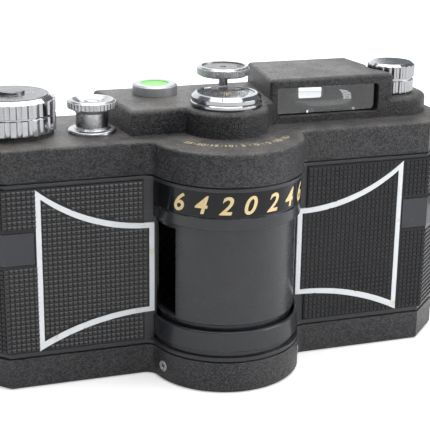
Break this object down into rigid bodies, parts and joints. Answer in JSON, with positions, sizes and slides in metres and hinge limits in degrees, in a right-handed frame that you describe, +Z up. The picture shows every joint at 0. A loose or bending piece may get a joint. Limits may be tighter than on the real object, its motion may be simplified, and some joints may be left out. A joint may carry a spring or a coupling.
{
  "type": "swing-lens panoramic camera",
  "caption": "Black swing-lens panoramic 35 mm film camera with a turning drum in a rounded front bulge, chrome knobs, a spirit level and a built-in wide viewfinder.",
  "frame": {"origin": "mouth of the tripod socket, on the turning axis of the lens drum in the plane of the base", "axes": "+X right as seen from the front, -Y towards the front, +Z up"},
  "size_m": [0.1546, 0.0582, 0.0834],
  "materials": {
    "advance_knob": "polished",
    "advance_shaft": "turned",
    "aperture_base": "polished",
    "aperture_hub": "polished",
    "aperture_ring": "polished",
    "aperture_scale": "gloss black",
    "aperture_window": "coated, polished",
    "back_door": "black enamel",
    "body_casting": "satin black enamel",
    "bottom_cover": "black crackle enamel",
    "bottom_cover_screws": "nickelled",
    "bulge_screws": "nickelled",
    "counter_disc": "dark satin",
    "degree_band": "gloss black with gold graduations",
    "door_hinge_pin": "turned",
    "door_latch": "polished",
    "door_leatherette": "fine pipped grain",
    "drive_spring": "blued spring steel",
    "drum_bearings": "turned",
    "drum_spindle": "turned",
    "eyepiece_frame": "moulded black",
    "film_gate": "black anodised",
    "film_rails": "polished",
    "film_sprocket": "black anodised",
    "finder_front_lens": "coated, polished",
    "finder_rear_lens": "coated, polished",
    "finder_tunnel": "black anodised",
    "frame_trim_left": "white",
    "frame_trim_right": "white",
    "governor": "turned",
    "guide_roller_left": "polished",
    "guide_roller_right": "polished",
    "iris_ring": "blackened",
    "leatherette_left": "fine pipped grain",
    "leatherette_right": "fine pipped grain",
    "lens_barrel": "black anodised",
    "lens_drum": "semi-gloss black",
    "lens_front_element": "coated, polished",
    "lens_rear_element": "coated, polished",
    "level_ring": "polished",
    "level_vial": "clear bright green",
    "lower_ring": "semi-gloss black",
    "pressure_plate": "black anodised",
    "release_button": "polished",
    "release_post": "polished",
    "release_spring": "blued spring steel",
    "rewind_knob": "polished",
    "rewind_release_button": "polished",
    "rewind_shaft": "turned",
    "rewind_sleeve": "turned",
    "slit_tube": "black anodised",
    "speed_dial": "polished",
    "speed_scale": "grey satin",
    "sprocket_shaft": "turned",
    "strap_lug_left": "semi-gloss black",
    "strap_lug_right": "semi-gloss black",
    "take_up_spool": "moulded black",
    "top_cover": "black crackle enamel",
    "tripod_bush": "turned steel",
    "upper_ring": "semi-gloss black"
  },
  "bodies": {
    "camera_body": {"aperture_base": "aperture_base", "body_casting": "body_casting", "bottom_cover": "bottom_cover", "bottom_cover_screws": "bottom_cover_screws", "bulge_screws": "bulge_screws", "degree_band": "degree_band", "door_hinge_pin": "door_hinge_pin", "drive_spring": "drive_spring", "drum_bearings": "drum_bearings", "eyepiece_frame": "eyepiece_frame", "film_gate": "film_gate", "film_rails": "film_rails", "finder_front_lens": "finder_front_lens", "finder_rear_lens": "finder_rear_lens", "finder_tunnel": "finder_tunnel", "frame_trim_left": "frame_trim_left", "frame_trim_right": "frame_trim_right", "leatherette_left": "leatherette_left", "leatherette_right": "leatherette_right", "level_ring": "level_ring", "level_vial": "level_vial", "lower_ring": "lower_ring", "release_post": "release_post", "release_spring": "release_spring", "strap_lug_left": "strap_lug_left", "strap_lug_right": "strap_lug_right", "top_cover": "top_cover", "tripod_bush": "tripod_bush", "upper_ring": "upper_ring"},
    "drum": {"lens_drum": "lens_drum", "slit_tube": "slit_tube", "lens_barrel": "lens_barrel", "lens_front_element": "lens_front_element", "lens_rear_element": "lens_rear_element", "drum_spindle": "drum_spindle"},
    "iris": {"iris_ring": "iris_ring"},
    "governor_rotor": {"governor": "governor"},
    "advance": {"advance_knob": "advance_knob", "advance_shaft": "advance_shaft", "counter_disc": "counter_disc", "take_up_spool": "take_up_spool"},
    "sprocket": {"film_sprocket": "film_sprocket", "sprocket_shaft": "sprocket_shaft"},
    "roller_left": {"guide_roller_left": "guide_roller_left"},
    "roller_right": {"guide_roller_right": "guide_roller_right"},
    "release": {"release_button": "release_button"},
    "aperture_dial": {"aperture_ring": "aperture_ring", "aperture_scale": "aperture_scale", "aperture_hub": "aperture_hub", "aperture_window": "aperture_window"},
    "shutter_dial": {"speed_dial": "speed_dial", "speed_scale": "speed_scale"},
    "rewind_lift": {"rewind_sleeve": "rewind_sleeve"},
    "rewind_turn": {"rewind_knob": "rewind_knob", "rewind_shaft": "rewind_shaft"},
    "door": {"back_door": "back_door", "door_leatherette": "door_leatherette", "pressure_plate": "pressure_plate"},
    "latch": {"door_latch": "door_latch"},
    "rewind_release": {"rewind_release_button": "rewind_release_button"}
  },
  "joints": [
    {"name": "drum_swing", "type": "hinge", "parent": "camera_body", "child": "drum", "pos_m": [0, 0, 0.034], "axis": [0, 0, 1], "range_deg": [0, 168]},
    {"name": "iris_turn", "type": "hinge", "parent": "drum", "child": "iris", "pos_m": [0, 0, 0.034], "axis": [-0.9945, -0.1045, 0], "range_deg": [0, 60]},
    {"name": "governor_spin", "type": "hinge", "parent": "camera_body", "child": "governor_rotor", "pos_m": [-0.0102, 0.0102, 0.06], "axis": [0, 0, 1], "range_deg": [-504, 0]},
    {"name": "advance_turn", "type": "hinge", "parent": "camera_body", "child": "advance", "pos_m": [-0.0565, 0.0172, 0.07], "axis": [0, 0, 1], "continuous": true},
    {"name": "sprocket_turn", "type": "hinge", "parent": "camera_body", "child": "sprocket", "pos_m": [-0.0376, 0.0215, 0.034], "axis": [0, 0, 1], "continuous": true},
    {"name": "roller_left_turn", "type": "hinge", "parent": "camera_body", "child": "roller_left", "pos_m": [-0.0306, 0.0092, 0.034], "axis": [0, 0, 1], "continuous": true},
    {"name": "roller_right_turn", "type": "hinge", "parent": "camera_body", "child": "roller_right", "pos_m": [0.0306, 0.0092, 0.034], "axis": [0, 0, 1], "continuous": true},
    {"name": "release_press", "type": "slide", "parent": "camera_body", "child": "release", "axis": [0, 0, -1], "range_m": [0, 0.002], "stiffness_N_per_m": 300, "springref_m": -0.002, "deforming": ["release_spring"]},
    {"name": "aperture_turn", "type": "hinge", "parent": "camera_body", "child": "aperture_dial", "pos_m": [0.0017, 0.0052, 0.077], "axis": [0, 0, 1], "range_deg": [0, 150]},
    {"name": "shutter_turn", "type": "hinge", "parent": "camera_body", "child": "shutter_dial", "pos_m": [0.0066, 0.0223, 0.08], "axis": [0, 0, 1], "range_deg": [0, 90]},
    {"name": "rewind_pull", "type": "slide", "parent": "camera_body", "child": "rewind_lift", "axis": [0, 0, 1], "range_m": [0, 0.0045]},
    {"name": "rewind_turn_hinge", "type": "hinge", "parent": "rewind_lift", "child": "rewind_turn", "pos_m": [0.0585, 0.0173, 0.075], "axis": [0, 0, 1], "continuous": true},
    {"name": "door_hinge", "type": "hinge", "parent": "camera_body", "child": "door", "pos_m": [-0.0702, 0.0324, 0.034], "axis": [0, 0, 1], "range_deg": [0, 110]},
    {"name": "latch_slide", "type": "slide", "parent": "camera_body", "child": "latch", "axis": [0, 0, 1], "range_m": [0, 0.003]},
    {"name": "rewind_release_press", "type": "slide", "parent": "camera_body", "child": "rewind_release", "axis": [0, 0, 1], "range_m": [0, 0.0015], "stiffness_N_per_m": 300, "springref_m": -0.002}
  ],
  "couplings": [
    {"joint": "governor_spin", "follows": "drum_swing", "ratio": -3},
    {"joint": "sprocket_turn", "follows": "advance_turn", "ratio": -1},
    {"joint": "iris_turn", "follows": "aperture_turn", "ratio": 0.4}
  ]
}
